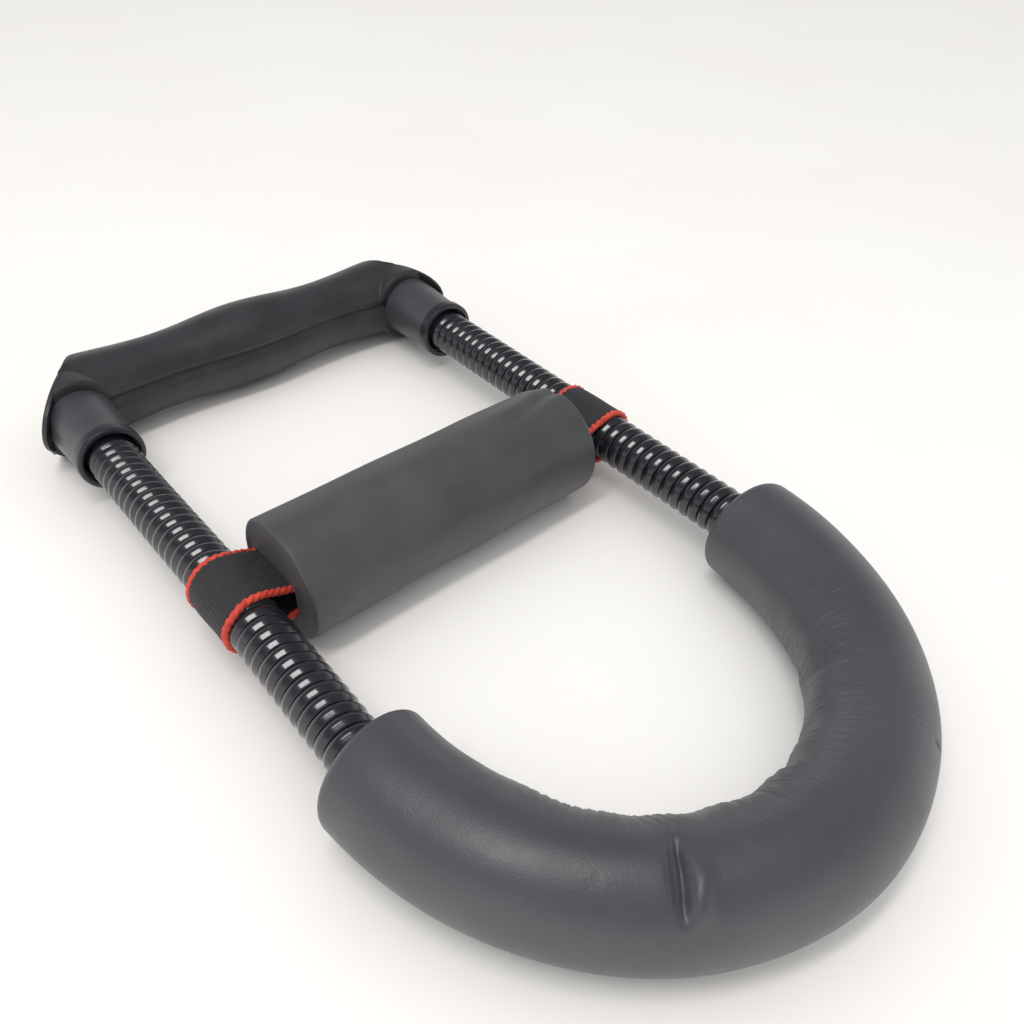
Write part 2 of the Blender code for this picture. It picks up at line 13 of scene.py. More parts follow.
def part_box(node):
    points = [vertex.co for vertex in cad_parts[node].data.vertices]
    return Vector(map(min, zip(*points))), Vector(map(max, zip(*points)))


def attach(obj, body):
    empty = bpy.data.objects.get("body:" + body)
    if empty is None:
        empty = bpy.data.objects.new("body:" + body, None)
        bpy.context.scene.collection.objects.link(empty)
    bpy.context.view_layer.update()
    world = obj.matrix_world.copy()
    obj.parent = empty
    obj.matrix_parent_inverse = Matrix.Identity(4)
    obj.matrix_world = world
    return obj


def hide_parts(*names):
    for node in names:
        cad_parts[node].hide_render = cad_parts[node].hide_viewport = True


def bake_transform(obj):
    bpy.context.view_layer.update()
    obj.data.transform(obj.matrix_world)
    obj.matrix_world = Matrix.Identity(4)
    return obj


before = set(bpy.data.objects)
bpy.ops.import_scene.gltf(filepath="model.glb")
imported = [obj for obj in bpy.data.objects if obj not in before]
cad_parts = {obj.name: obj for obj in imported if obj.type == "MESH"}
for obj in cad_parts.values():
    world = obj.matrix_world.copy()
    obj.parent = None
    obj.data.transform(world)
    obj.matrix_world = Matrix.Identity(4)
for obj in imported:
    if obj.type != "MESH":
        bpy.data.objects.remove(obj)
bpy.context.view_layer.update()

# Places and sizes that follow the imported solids
SPRING_LOW, SPRING_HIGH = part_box("right_spring")
SPRING_X = (SPRING_LOW.x + SPRING_HIGH.x) / 2
AXIS_Z = (SPRING_LOW.z + SPRING_HIGH.z) / 2
SLEEVE_LOW, SLEEVE_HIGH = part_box("arm_foam")
ROLL_LOW, ROLL_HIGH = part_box("wrist_roll")
STRAP_LOW, STRAP_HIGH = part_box("wrist_strap")
COLLAR_LOW, COLLAR_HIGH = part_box("right_collar")
MOUTH_Y = COLLAR_LOW.y
GRIP_Y = MOUTH_Y + 0.044
ELBOW_Y = MOUTH_Y + 0.0293
SIDES = (("left", -1), ("right", 1))

# Sleeve. Places along it are measured on its centre line, from its right end.
SLEEVE_RADIUS = 0.01725
BOW_DEPTH = 0.0846
BOW_Y = SLEEVE_LOW.y + SLEEVE_RADIUS + BOW_DEPTH
BOW_POINTS = 4001
SLEEVE_END_DROP = 0.0024  # the bow starts this far below its widest line
SLEEVE_END_LEAN = math.radians(6.6)
SLEEVE_END_ROUND = 0.0026  # radius of the soft outer rim
SLEEVE_HOLE = 0.0087
SLEEVE_HOLE_DEPTH = 0.010
SLEEVE_LIP = 0.0007  # radius of the rim round the spring's hole
SLEEVE_COLUMNS = 113
SLEEVE_ROW_STEP = 0.00039
SLEEVE_FLOOR = 0.0004  # the foam is pressed flat below this height
INSIDE_THINNING = 0.0012  # squeezed foam on the inside of the bow is this much thinner
WRINKLE_PITCH = 0.0031
WRINKLE_DEPTH = 0.00052
STREAK_DEPTH = 0.00011
SWELL_DEPTH = 0.00036
WAVE_DEPTH = 0.00012
PINCH = 0.1628
PINCH_DEPTH = 0.0027
PINCH_RIDGE = 0.0010
PINCH_WALL = 0.0009
PINCH_REACH = 0.0048  # rows stand closer this near to the pinch
PINCH_ROW_STEP = 0.00017
NICK = 0.0908
NICK_DEPTH = 0.0011
SCUFF_DEPTH = 0.0002
SCRATCHES = 9
SCRATCH_DEPTH = 0.00012

# Springs
COIL_RADIUS = 0.00665
COIL_PITCH = 0.0042
WIRE_WIDTH = 0.00415
WIRE_DEPTH = 0.0037
WIRE_SQUARENESS = 2.5
FACET_HEIGHT = 0.00171  # the shoulder's facet, out from the middle of the wire
FACET_STRETCH = (-0.04, 0.09)  # places in Y between which the facet's tilt grows
FACET_TILTS = (17, 27)  # degrees
LEFT_FACET_TILT = 4  # degrees more on the left spring
WIRE_STEPS = 32
COIL_STEPS = 40
LOWER_TURNS = 18
UPPER_TURNS = 23
COIL_START_Y = BOW_Y - 1.5 * COIL_PITCH
SPRING_PART_Y = COIL_START_Y + LOWER_TURNS * COIL_PITCH
SPRING_BOW = 0.0009  # the strap pulls the left spring in by this much
SPRING_BOW_REACH = 0.045
LOWER_BEND = (-0.0388, 0.0022)  # the stretch in Y about each hinge
UPPER_BEND = (0.0347, 0.0847)

# Roll and strap
ROLL_RADIUS = (ROLL_HIGH.z - ROLL_LOW.z) / 2
ROLL_Y = (ROLL_LOW.y + ROLL_HIGH.y) / 2
ROLL_Z = (ROLL_LOW.z + ROLL_HIGH.z) / 2
ROLL_X = (ROLL_LOW.x + ROLL_HIGH.x) / 2
ROLL_HALF = (ROLL_HIGH.x - ROLL_LOW.x) / 2
ROLL_COLUMNS = 161
ROLL_ROWS = 150
ROLL_EDGE = 0.0009  # radius of the roll's rims
ROLL_DISH = 0.0007  # the ends are hollow by this much round the slot
PAD_TURN = math.radians(1.25)
SLOT_Z = ROLL_Z - 0.0049
SLOT_HALF_HEIGHT = 0.006
SLOT_HALF_WIDTH = 0.0116
SLOT_SQUARENESS = 7.0
SLOT_EDGE = 0.0013  # depth of the rounding at the slot's mouth
SLOT_ROWS = 24
STRAP_HALF_WIDTH = (STRAP_HIGH.y - STRAP_LOW.y) / 2
STRAP_Y = (STRAP_LOW.y + STRAP_HIGH.y) / 2
STRAP_SKEW = 0.0020
STRAP_THICKNESS = 0.0016
STRAP_INSIDE_BOX = 0.0004  # room for the ribs inside the solid's outline
STRAP_REACH = STRAP_HIGH.x - SPRING_X - STRAP_THICKNESS / 2 - STRAP_INSIDE_BOX
STRAP_IN_SLOT = 0.0003  # clearance between the strap and the slot's wall
STRAP_STEP = 0.00026
STRAP_SOFTENING = 60
RIB_PITCH = 0.0014
EDGE_INSET = 0.0006  # from the strap's edge in to the middle of the red cord
TWIST_PITCH = 0.0046
CORD_COLUMNS = 25

# Handle
SPLIT_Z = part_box("grip_upper")[0].z
MITRE_ANGLE = math.radians(36.4)
MITRE_LEAN = math.radians(11.5)
MITRE_FROM_CORNER = 0.0024  # the slanted end lies this far inside the corner of both axes
GRIP_SWELL = 0.0165
GRIP_WAIST = 0.01435
GRIP_SHOULDER = 0.0163
WAIST_X = 0.035
SHOULDER_X = 0.074
GRIP_PAST_ELBOW = 0.013
GRIP_STATIONS = 64
ROUND_STEPS = 96
ELBOW_RADIUS = 0.0156
ELBOW_BORE = 0.004
ELBOW_ROUND = 0.0011
BLEND_CELL = 0.00052  # cell size that melts bar and elbows into one skin
CREASE_DEPTH = 0.0019
CREASE_WIDTH = 0.0019
SHELL_GAP = 0.0001  # between the two shells, and between shells and plates
GRIP_FLOOR = 0.0009  # height of the flat along the grip's underside
CAP_FACE = 0.0031  # the plate's outer face, out from the slanted end
CAP_THICKNESS = 0.0016
CAP_BLANK = (0.04, 0.10)  # the stretch of bar that each plate is cut from
CAP_STATIONS = 30
CAP_ROUND = 0.0006
CAP_FLOOR = 0.0002
TONGUE_LENGTH = 0.06  # how far the plate's blank runs along the spring
IN_PLANE = 1e-5  # how near to a plane a vertex counts as in it
SOCKET_RADIUS = 0.0112
SOCKET_BORE = 0.0093
SOCKET_FLOOR = 0.012
SOCKET_MOUTH = 0.0023
SOCKET_FLARE = 0.0012
COLLAR_RADIUS = 0.0118
COLLAR_LENGTH = 0.0040
COLLAR_BORE = 0.0097
COLLAR_LIP = 0.0020
COLLAR_WALL = 0.0003

# Camera, fitted to the springs and outlines in the photo
CAMERA_PLACE = (-0.13352, -0.18103, 0.21264)
CAMERA_YAW = 0.7182496
CAMERA_PITCH = 0.7065372
CAMERA_ROLL = -0.0305726
CAMERA_LENS = 32.48


# Selecting and shaping

def deselect():
    if bpy.context.object is not None and bpy.context.object.mode == "EDIT":
        bpy.ops.object.mode_set(mode="OBJECT")
    bpy.ops.object.select_all(action="DESELECT")


def take(item):
    """Makes one piece the only one that an operator acts on."""
    deselect()
    item.select_set(True)
    bpy.context.view_layer.objects.active = item


def edit_all(item):
    take(item)
    bpy.ops.object.mode_set(mode="EDIT")
    bpy.ops.mesh.select_all(action="SELECT")


def done():
    bpy.ops.object.mode_set(mode="OBJECT")


def name_it(item, name):
    item.name = name
    item.data.name = name
    return item


def settle(item):
    """Puts a piece's place into its mesh, so that its object sits at the origin."""
    take(item)
    bpy.ops.object.transform_apply(location=True, rotation=True, scale=True)


def apply_modifiers(item):
    take(item)
    for step in list(item.modifiers):
        bpy.ops.object.modifier_apply(modifier=step.name)


def smooth(item, degrees):
    take(item)
    bpy.ops.object.shade_smooth_by_angle(angle=math.radians(degrees))


def flatten_flats(item):
    """Clears slivers left by cuts, and lets each big flat face keep its own normal up to its rim."""
    sliver = 0.00004
    edit_all(item)
    bpy.ops.mesh.remove_doubles(threshold=sliver)
    bpy.ops.mesh.dissolve_degenerate(threshold=sliver)
    done()
    weigh = item.modifiers.new("weigh", "WEIGHTED_NORMAL")
    weigh.weight = 100
    weigh.keep_sharp = True
    apply_modifiers(item)


def weld(item, distance=1e-6):
    edit_all(item)
    bpy.ops.mesh.remove_doubles(threshold=distance)
    bpy.ops.mesh.normals_make_consistent(inside=False)
    done()


def close_holes(item):
    """Closes every open rim with a face."""
    edit_all(item)
    bpy.ops.mesh.select_all(action="DESELECT")
    bpy.ops.mesh.select_mode(type="EDGE")
    bpy.ops.mesh.select_non_manifold(
        extend=False, use_wire=False, use_multi_face=False, use_non_contiguous=False
    )
    bpy.ops.mesh.fill_holes(sides=0)
    bpy.ops.mesh.select_mode(type="VERT")
    bpy.ops.mesh.select_all(action="SELECT")
    bpy.ops.mesh.normals_make_consistent(inside=False)
    done()


def rounded(points, radii, steps=6):
    """Rounds the corners of a profile, each with its own radius."""
    made = [points[0]]
    for k in range(1, len(points) - 1):
        corner = Vector(points[k])
        back = Vector(points[k - 1]) - corner
        ahead = Vector(points[k + 1]) - corner
        radius = radii[k]
        if radius <= 0:
            made.append(points[k])
            continue
        half = back.angle(ahead) / 2
        reach = min(radius / math.tan(half), back.length * 0.49, ahead.length * 0.49)
        first = corner + back.normalized() * reach
        last = corner + ahead.normalized() * reach
        for j in range(steps + 1):
            share = j / steps
            here = first * (1 - share) ** 2 + corner * 2 * share * (1 - share) + last * share ** 2
            made.append((here.x, here.y))
    made.append(points[-1])
    return made


def turned(name, profile, steps, closed=False):
    """Draws a ring out along its own Z, from one (radius, height) to the next."""
    deselect()
    radius, height = profile[0]
    bpy.ops.mesh.primitive_circle_add(vertices=steps, radius=radius, location=(0, 0, height))
    item = name_it(bpy.context.object, name)
    settle(item)
    edit_all(item)
    for next_radius, next_height in profile[1:]:
        rise = next_height - height
        bpy.ops.mesh.extrude_region_move(TRANSFORM_OT_translate={"value": (0, 0, rise)})
        grow = next_radius / radius
        bpy.ops.transform.resize(value=(grow, grow, 1), center_override=(0, 0, next_height))
        radius, height = next_radius, next_height
    done()
    if closed:
        weld(item, 1e-5)
    else:
        close_holes(item)
    return item


def lay(item, along, x, y, z):
    """Turns a piece so that its own +Z points along +X or +Y, and puts it in place."""
    item.rotation_euler = (-math.pi / 2, 0, 0) if along == "Y" else (0, math.pi / 2, 0)
    item.location = (x, y, z)
    settle(item)
    return item


def skin(name, points):
    """A flat grid whose points are moved to rows of places, then welded where the rows meet."""
    rows, columns = points.shape[:2]
    deselect()
    bpy.ops.mesh.primitive_grid_add(x_subdivisions=columns - 1, y_subdivisions=rows - 1, size=1)
    item = name_it(bpy.context.object, name)
    move_to(item, points)
    weld(item)
    return item


def places_of(item):
    """Where a mesh's vertices are, a row for each."""
    place = np.empty(len(item.data.vertices) * 3)
    item.data.vertices.foreach_get("co", place)
    return place.reshape(-1, 3)


def move_to(item, place):
    item.data.vertices.foreach_set("co", place.astype(np.float32).ravel())
    item.data.update()


def drift(measures, seed, waves=8):
    """A smooth seeded wander, mostly between -1 and 1. Each measure comes with its wave length."""
    pick = random.Random(seed)
    total = 0
    for _ in range(waves):
        phase = pick.uniform(0, 2 * math.pi)
        for values, reach in measures:
            phase = phase + values * (2 * math.pi / reach) * pick.uniform(-1.5, 1.5)
        total = total + np.sin(phase)
    return total / math.sqrt(waves)


def fade(values, low, high):
    """Runs smoothly from 0 at low to 1 at high."""
    share = np.clip((values - low) / (high - low), 0, 1)
    return share * share * (3 - 2 * share)


def bump_at(values, middle, width):
    """A soft hump of height 1."""
    return np.exp(-(((values - middle) / width) ** 2))


# Materials

class Look:
    """A material, built a node at a time."""

    def __init__(self, name, colour, roughness, **values):
        self.made = bpy.data.materials.new(name)
        self.made.use_nodes = True
        self.made.diffuse_color = (*colour, 1)
        self.tree = self.made.node_tree
        self.shader = self.tree.nodes["Principled BSDF"]
        self.shader.inputs["Base Color"].default_value = (*colour, 1)
        self.shader.inputs["Roughness"].default_value = roughness
        for key, value in values.items():
            self.shader.inputs[key.replace("_", " ")].default_value = value
        self.bumps = None

    def node(self, kind, **settings):
        made = self.tree.nodes.new(kind)
        for key, value in settings.items():
            setattr(made, key, value)
        return made

    def link(self, out, into):
        self.tree.links.new(out, into)

    def place(self, kind="Object", scale=(1, 1, 1)):
        """The surface's coordinates, stretched."""
        source = self.node("ShaderNodeTexCoord").outputs[kind]
        mapping = self.node("ShaderNodeMapping")
        mapping.inputs["Scale"].default_value = scale
        self.link(source, mapping.inputs["Vector"])
        return mapping.outputs["Vector"]

    def noise(self, scale, detail, place=None):
        made = self.node("ShaderNodeTexNoise")
        made.inputs["Scale"].default_value = scale
        made.inputs["Detail"].default_value = detail
        self.link(place or self.place(), made.inputs["Vector"])
        return made.outputs["Fac"]

    def cells(self, scale):
        made = self.node("ShaderNodeTexVoronoi")
        made.inputs["Scale"].default_value = scale
        self.link(self.place(), made.inputs["Vector"])
        return made.outputs["Distance"]

    def spread(self, value, low, high, to_low=0.0, to_high=1.0):
        """Takes a value from one range to another."""
        made = self.node("ShaderNodeMapRange", clamp=True)
        self.link(value, made.inputs["Value"])
        ends = {"From Min": low, "From Max": high, "To Min": to_low, "To Max": to_high}
        for key, number in ends.items():
            made.inputs[key].default_value = number
        return made.outputs["Result"]

    def maths(self, operation, first, second=None):
        made = self.node("ShaderNodeMath", operation=operation)
        for k, value in enumerate((first, second)):
            if value is None:
                continue
            if isinstance(value, (int, float)):
                made.inputs[k].default_value = value
            else:
                self.link(value, made.inputs[k])
        return made.outputs[0]

    def mix(self, share, first, second):
        """A colour between two, which are colours or sockets."""
        made = self.node("ShaderNodeMix", data_type="RGBA")
        if isinstance(share, (int, float)):
            made.inputs[0].default_value = share
        else:
            self.link(share, made.inputs[0])
        for k, value in ((6, first), (7, second)):
            if isinstance(value, tuple):
                made.inputs[k].default_value = (*value, 1)
            else:
                self.link(value, made.inputs[k])
        return made.outputs[2]

    def colour(self, value):
        self.link(value, self.shader.inputs["Base Color"])

    def rough(self, value):
        self.link(value, self.shader.inputs["Roughness"])

    def raise_by(self, height, distance, strength):
        """Adds relief, in metres at full height, on top of what is there."""
        made = self.node("ShaderNodeBump")
        made.inputs["Strength"].default_value = strength
        made.inputs["Distance"].default_value = distance
        self.link(height, made.inputs["Height"])
        if self.bumps is not None:
            self.link(self.bumps, made.inputs["Normal"])
        self.bumps = made.outputs["Normal"]
        self.link(self.bumps, self.shader.inputs["Normal"])


def foam_look(name, dark, light, wide, gloss, smooth_low, smooth_high):
    """Closed-cell foam: a faintly mottled skin with tiny pores and a soft satin gloss."""
    look = Look(name, light, 0.5, Sheen_Weight=0.05, Sheen_Roughness=0.45, Specular_IOR_Level=gloss)
    clouds = look.noise(wide, 4.0)
    specks = look.noise(1900.0, 2.0)
    shade = look.mix(look.spread(clouds, 0.32, 0.68), dark, light)
    lift = tuple(min(1.0, c * 1.55) for c in light)
    look.colour(look.mix(look.spread(specks, 0.62, 0.80, 0.0, 0.5), shade, lift))
    look.rough(look.spread(look.noise(90.0, 3.0), 0.3, 0.7, smooth_low, smooth_high))
    look.raise_by(look.noise(60.0, 3.0), 0.0009, 0.3)
    look.raise_by(look.cells(1500.0), 0.00007, 0.4)
    look.raise_by(look.noise(3600.0, 2.0), 0.00004, 0.4)
    return look


def webbing_look():
    """Black webbing: ribs are in the mesh, the threads across them in the finish, with painted shade in
    the weave's low parts and a painted highlight on its raised threads.
    """
    look = Look("black_webbing", (0.010, 0.010, 0.011), 0.75, Sheen_Weight=0.08, Sheen_Roughness=0.4)
    threads_round, threads_across = 56, 320
    split = look.node("ShaderNodeSeparateXYZ")
    look.link(look.place("UV"), split.inputs[0])
    across = look.maths("SINE", look.maths("MULTIPLY", split.outputs[0], 2 * math.pi * threads_round))
    along = look.maths("SINE", look.maths("MULTIPLY", split.outputs[1], 2 * math.pi * threads_across))
    weave = look.maths("MULTIPLY", across, along)
    threads = look.maths("ADD", look.maths("MULTIPLY", across, 0.6), look.maths("MULTIPLY", weave, 0.4))
    height = look.spread(threads, -1.0, 1.0)
    # Painted shade and highlight: the colour darkens where the weave lies low and lightens on the raised
    # threads.
    shade = look.mix(height, (0.015, 0.015, 0.016), (0.036, 0.036, 0.038))
    fluff = look.spread(look.noise(900.0, 3.0), 0.58, 0.8, 0.0, 0.4)
    look.colour(look.mix(fluff, shade, (0.055, 0.055, 0.058)))
    look.raise_by(height, 0.00022, 0.8)
    look.raise_by(look.noise(2600.0, 2.0), 0.00008, 0.5)
    return look


def edging_look():
    """Red twisted thread with fine fibres."""
    look = Look("red_edging", (0.62, 0.045, 0.022), 0.62, Sheen_Weight=0.15, Sheen_Roughness=0.4)
    faded = look.spread(look.noise(420.0, 3.0), 0.3, 0.7)
    look.colour(look.mix(faded, (0.50, 0.028, 0.016), (0.78, 0.075, 0.038)))
    fibres = look.noise(1.0, 3.0, look.place("UV", (60, 900, 1)))
    look.raise_by(fibres, 0.00012, 0.7)
    return look


def enamel_look():
    """Thick glossy black enamel, with a little dust in faint clouds over it."""
    gloss = {"Specular_IOR_Level": 0.4, "Coat_Weight": 0.9, "Coat_Roughness": 0.10}
    look = Look("black_enamel", (0.009, 0.011, 0.016), 0.22, **gloss)
    clouds = look.noise(260.0, 3.0)
    look.colour(look.mix(look.spread(clouds, 0.4, 0.75), (0.007, 0.009, 0.013), (0.013, 0.016, 0.022)))
    look.rough(look.spread(look.noise(700.0, 3.0), 0.3, 0.7, 0.28, 0.38))
    look.raise_by(look.noise(420.0, 2.0), 0.00003, 0.25)
    return look


def plastic_look(name, colour, low, high, grain, gloss=0.45):
    """Moulded plastic with a fine grain and faint handling marks."""
    look = Look(name, colour, (low + high) / 2, Specular_IOR_Level=gloss)
    worn = tuple(c * 1.5 for c in colour)
    look.colour(look.mix(look.spread(look.noise(55.0, 4.0), 0.4, 0.75), colour, worn))
    look.rough(look.spread(look.noise(120.0, 4.0), 0.3, 0.7, low, high))
    look.raise_by(look.noise(2400.0, 2.0), 0.00006, grain)
    look.raise_by(look.noise(110.0, 2.0), 0.0004, 0.12)
    return look


def steel_look():
    """Turned steel with fine lines round it."""
    look = Look("bright_steel", (0.56, 0.57, 0.58), 0.3, Metallic=1.0)
    lines = look.noise(1.0, 3.0, look.place("Object", (300, 4000, 4000)))
    look.rough(look.spread(lines, 0.3, 0.7, 0.22, 0.38))
    look.colour(look.mix(lines, (0.46, 0.47, 0.48), (0.62, 0.63, 0.64)))
    look.raise_by(lines, 0.00003, 0.4)
    return look


def coat(item, look):
    item.data.materials.clear()
    item.data.materials.append(look.made)


# Arm brace

def bow_line():
    """The sleeve's centre line as a table: distance from its right end, and place in X and Y."""
    first = math.asin(SLEEVE_END_DROP / BOW_DEPTH)
    turn = np.linspace(first, math.pi - first, BOW_POINTS)
    x = SPRING_X * np.cos(turn)
    y = BOW_Y - BOW_DEPTH * np.sin(turn)
    along = np.concatenate([[0], np.cumsum(np.hypot(np.diff(x), np.diff(y)))])
    return along, x, y


def bow_frame(distance, table):
    """Place and outward direction of the bow at some distances, straight on past its ends."""
    along, x, y = table
    inside = np.clip(distance, 0, along[-1])
    px, py = np.interp(inside, along, x), np.interp(inside, along, y)
    dx, dy = np.gradient(x, along), np.gradient(y, along)
    tx, ty = np.interp(inside, along, dx), np.interp(inside, along, dy)
    size = np.hypot(tx, ty)
    tx, ty = tx / size, ty / size
    past = distance - inside
    return px + tx * past, py + ty * past, -ty, tx


def sleeve_rows(length):
    """Distance along the sleeve and radius of each row, from one end's pocket to the other's."""
    end = [(SLEEVE_HOLE_DEPTH * (1 - k / 6), SLEEVE_HOLE) for k in range(6)]
    for a in (0.0, 0.5, 1.05, 1.57):
        end.append((SLEEVE_LIP * (1 - math.sin(a)), SLEEVE_HOLE + SLEEVE_LIP * (1 - math.cos(a))))
    edge = SLEEVE_RADIUS - SLEEVE_END_ROUND
    face = edge - SLEEVE_HOLE - SLEEVE_LIP
    end += [(0.0, SLEEVE_HOLE + SLEEVE_LIP + face * k / 7) for k in range(1, 7)]
    for k in range(9):
        a = math.pi / 2 * k / 9
        end.append((SLEEVE_END_ROUND * (1 - math.cos(a)), edge + SLEEVE_END_ROUND * math.sin(a)))
    middle = []
    d = SLEEVE_END_ROUND
    while d < length - SLEEVE_END_ROUND - 0.0003:
        middle.append((d, SLEEVE_RADIUS))
        d += PINCH_ROW_STEP if abs(d - PINCH) < PINCH_REACH else SLEEVE_ROW_STEP
    middle.append((length - SLEEVE_END_ROUND, SLEEVE_RADIUS))
    return end + middle + [(length - d, r) for d, r in reversed(end)]


def make_sleeve(look):
    """The foam sleeve: creased where the bend squeezes it, with a pinch and a nick."""
    table = bow_line()
    length = table[0][-1]
    rows = np.array(sleeve_rows(length))
    angle = np.linspace(0, 2 * math.pi, SLEEVE_COLUMNS)[None, :]
    d = rows[:, 0][:, None] + 0 * angle
    r = rows[:, 1][:, None] + 0 * angle
    angle = angle + 0 * d
    out, up = np.cos(angle), np.sin(angle)

    body = (r >= SLEEVE_RADIUS - SLEEVE_END_ROUND) * 1.0
    from_end = np.minimum(d, length - d)
    bend = fade(from_end, 0.020, 0.065)
    r = r - body * bend * INSIDE_THINNING * fade(-out, -0.2, 1.0)
    squeezed = fade(-out, 0.12, 0.95) * bend
    wander = drift([(d, 0.030), (out, 1.6), (up, 1.6)], 11)
    patch = np.clip(0.65 + 0.45 * drift([(d, 0.016), (out, 1.0), (up, 1.0)], 12), 0.1, 1.3)
    phase = math.pi * d / WRINKLE_PITCH + 2.0 * wander
    lobes = 1 - np.abs(np.sin(phase)) ** 0.7
    r = r - body * squeezed * patch * WRINKLE_DEPTH * lobes
    streaks = drift([(d, 0.0020), (out, 2.0), (up, 2.0)], 15)
    r = r - body * fade(-out, -0.15, 0.8) * bend * STREAK_DEPTH * streaks
    r = r + body * squeezed * SWELL_DEPTH * drift([(d, 0.016), (out, 2.5), (up, 2.5)], 13)
    waves = drift([(d, 0.040), (out, 2.0), (up, 2.0)], 14)
    r = r + body * fade(from_end, 0.0, 0.02) * WAVE_DEPTH * waves
    r = r + body * sleeve_marks(d, angle)

    lean = math.tan(SLEEVE_END_LEAN)
    u, w = r * out, r * up
    shift = u * lean * (1 - fade(d, 0.0, 0.030)) - u * lean * (1 - fade(length - d, 0.0, 0.030))
    px, py, nx, ny = bow_frame(d + shift, table)
    z = AXIS_Z + w
    pressed = SLEEVE_FLOOR * np.exp(np.minimum(0, (z - SLEEVE_FLOOR) / SLEEVE_FLOOR))
    z = np.where(z < SLEEVE_FLOOR, pressed, z)
    points = np.stack([px + nx * u, py + ny * u, z], axis=2)
    points[:, -1] = points[:, 0]
    sleeve = skin("arm_sleeve", points)
    close_holes(sleeve)
    smooth(sleeve, 60)
    coat(sleeve, look)
    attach(sleeve, "arm_brace")
    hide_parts("arm_foam")


def sleeve_marks(d, angle):
    """The pinch across the bottom of the bow, the nick on its outer right, and small dents."""
    turn = np.degrees(angle)

    def span(low, high, ease=10):
        return fade(turn, low - ease, low + ease) * (1 - fade(turn, high - ease, high + ease))

    def spot(place, at, length, width):
        return bump_at(d, place, length) * bump_at(turn, at, width)

    width = np.interp(turn, [40, 70, 104], [0.0012, 0.0017, 0.0017])
    wall = np.interp(turn, [38, 76], [PINCH - 0.0026, PINCH - 0.0046])
    made = -PINCH_DEPTH * bump_at(d, PINCH, width) * span(46, 98, 9)
    made += PINCH_RIDGE * bump_at(d, PINCH + 0.0003, 0.0008) * span(46, 98, 9)
    made += PINCH_WALL * bump_at(d, wall, 0.0020) * span(40, 76, 12)
    made -= NICK_DEPTH * spot(NICK, 32, 0.0004, 6)
    made -= 0.0001 * spot(0.1786, 68, 0.0010, 4)
    made -= 0.0001 * spot(0.1823, 49, 0.0009, 4)
    made += 0.0003 * spot(0.1465, 90, 0.0010, 3)
    scuff = np.interp(turn, [56, 66], [0.0922, 0.0872])
    made -= SCUFF_DEPTH * bump_at(d, scuff, 0.0004) * span(56, 66, 3)
    pick = random.Random(17)
    for _ in range(SCRATCHES):
        place, start = pick.uniform(0.048, 0.098), pick.uniform(84, 120)
        slant = pick.uniform(-0.00004, 0.00004)
        line = place + slant * (turn - start)
        made -= SCRATCH_DEPTH * bump_at(d, line, 0.00035) * span(start, start + pick.uniform(12, 30), 4)
    return made


# Springs

def make_spring(side, sign, look):
    """One spring in two lengths that meet under the strap."""
    parts = (
        ("lower", COIL_START_Y, LOWER_TURNS, ("arm_brace", "springs"), LOWER_BEND),
        ("upper", SPRING_PART_Y, UPPER_TURNS, ("springs", "handle"), UPPER_BEND),
    )
    for part, start, turns, bodies, bend in parts:
        deselect()
        bpy.ops.mesh.primitive_circle_add(vertices=WIRE_STEPS, radius=1, location=(0, 0, 0))
        wire = name_it(bpy.context.object, f"{side}_spring_{part}")
        for corner in wire.data.vertices:
            x, y = corner.co.x, corner.co.y
            reach = abs(x) ** WIRE_SQUARENESS + abs(y) ** WIRE_SQUARENESS
            reach = reach ** (-1 / WIRE_SQUARENESS)
            corner.co = (x * reach * WIRE_DEPTH / 2, y * reach * WIRE_WIDTH / 2, 0)
        edit_all(wire)
        bpy.ops.transform.translate(value=(COIL_RADIUS, 0, 0))
        done()
        wind = wire.modifiers.new("wind", "SCREW")
        wind.axis = "Y"
        wind.angle = -2 * math.pi
        wind.screw_offset = COIL_PITCH
        wind.iterations = turns
        wind.steps = COIL_STEPS
        wind.render_steps = COIL_STEPS
        apply_modifiers(wire)
        wire.location = (sign * SPRING_X, start, AXIS_Z)
        settle(wire)
        flatten_wire(wire, sign, start)
        close_holes(wire)
        smooth(wire, 60)
        coat(wire, look)
        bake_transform(wire)
        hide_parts(f"{side}_spring")


def flatten_wire(wire, sign, start):
    """Gives each turn a soft facet on its shoulder, and bows the left spring in under the strap."""
    place = places_of(wire)
    ring = np.arange(len(place)) // WIRE_STEPS
    middle = start + ring * COIL_PITCH / COIL_STEPS
    across, rise = place[:, 0] - sign * SPRING_X, place[:, 2] - AXIS_Z
    radius = np.hypot(across, rise)
    out, along = radius - COIL_RADIUS, place[:, 1] - middle
    more = LEFT_FACET_TILT if sign < 0 else 0
    tilt = np.radians(np.interp(middle, FACET_STRETCH, FACET_TILTS) + more)
    over = np.maximum(0, out * np.cos(tilt) - along * np.sin(tilt) - FACET_HEIGHT)
    new_radius = radius - over * np.cos(tilt)
    place[:, 0] = sign * SPRING_X + across * new_radius / radius
    place[:, 2] = AXIS_Z + rise * new_radius / radius
    place[:, 1] += over * np.sin(tilt)
    if sign < 0:
        place[:, 0] += SPRING_BOW * bump_at(place[:, 1], STRAP_Y, SPRING_BOW_REACH)
    move_to(wire, place)


# Wrist roll and strap

def slot_outline(angle):
    """The slot's rounded outline about its middle, met by a ray at each angle."""
    y, z = np.cos(angle) / SLOT_HALF_WIDTH, np.sin(angle) / SLOT_HALF_HEIGHT
    reach = np.abs(y) ** SLOT_SQUARENESS + np.abs(z) ** SLOT_SQUARENESS
    reach = reach ** (-1 / SLOT_SQUARENESS)
    return reach * np.cos(angle), reach * np.sin(angle)


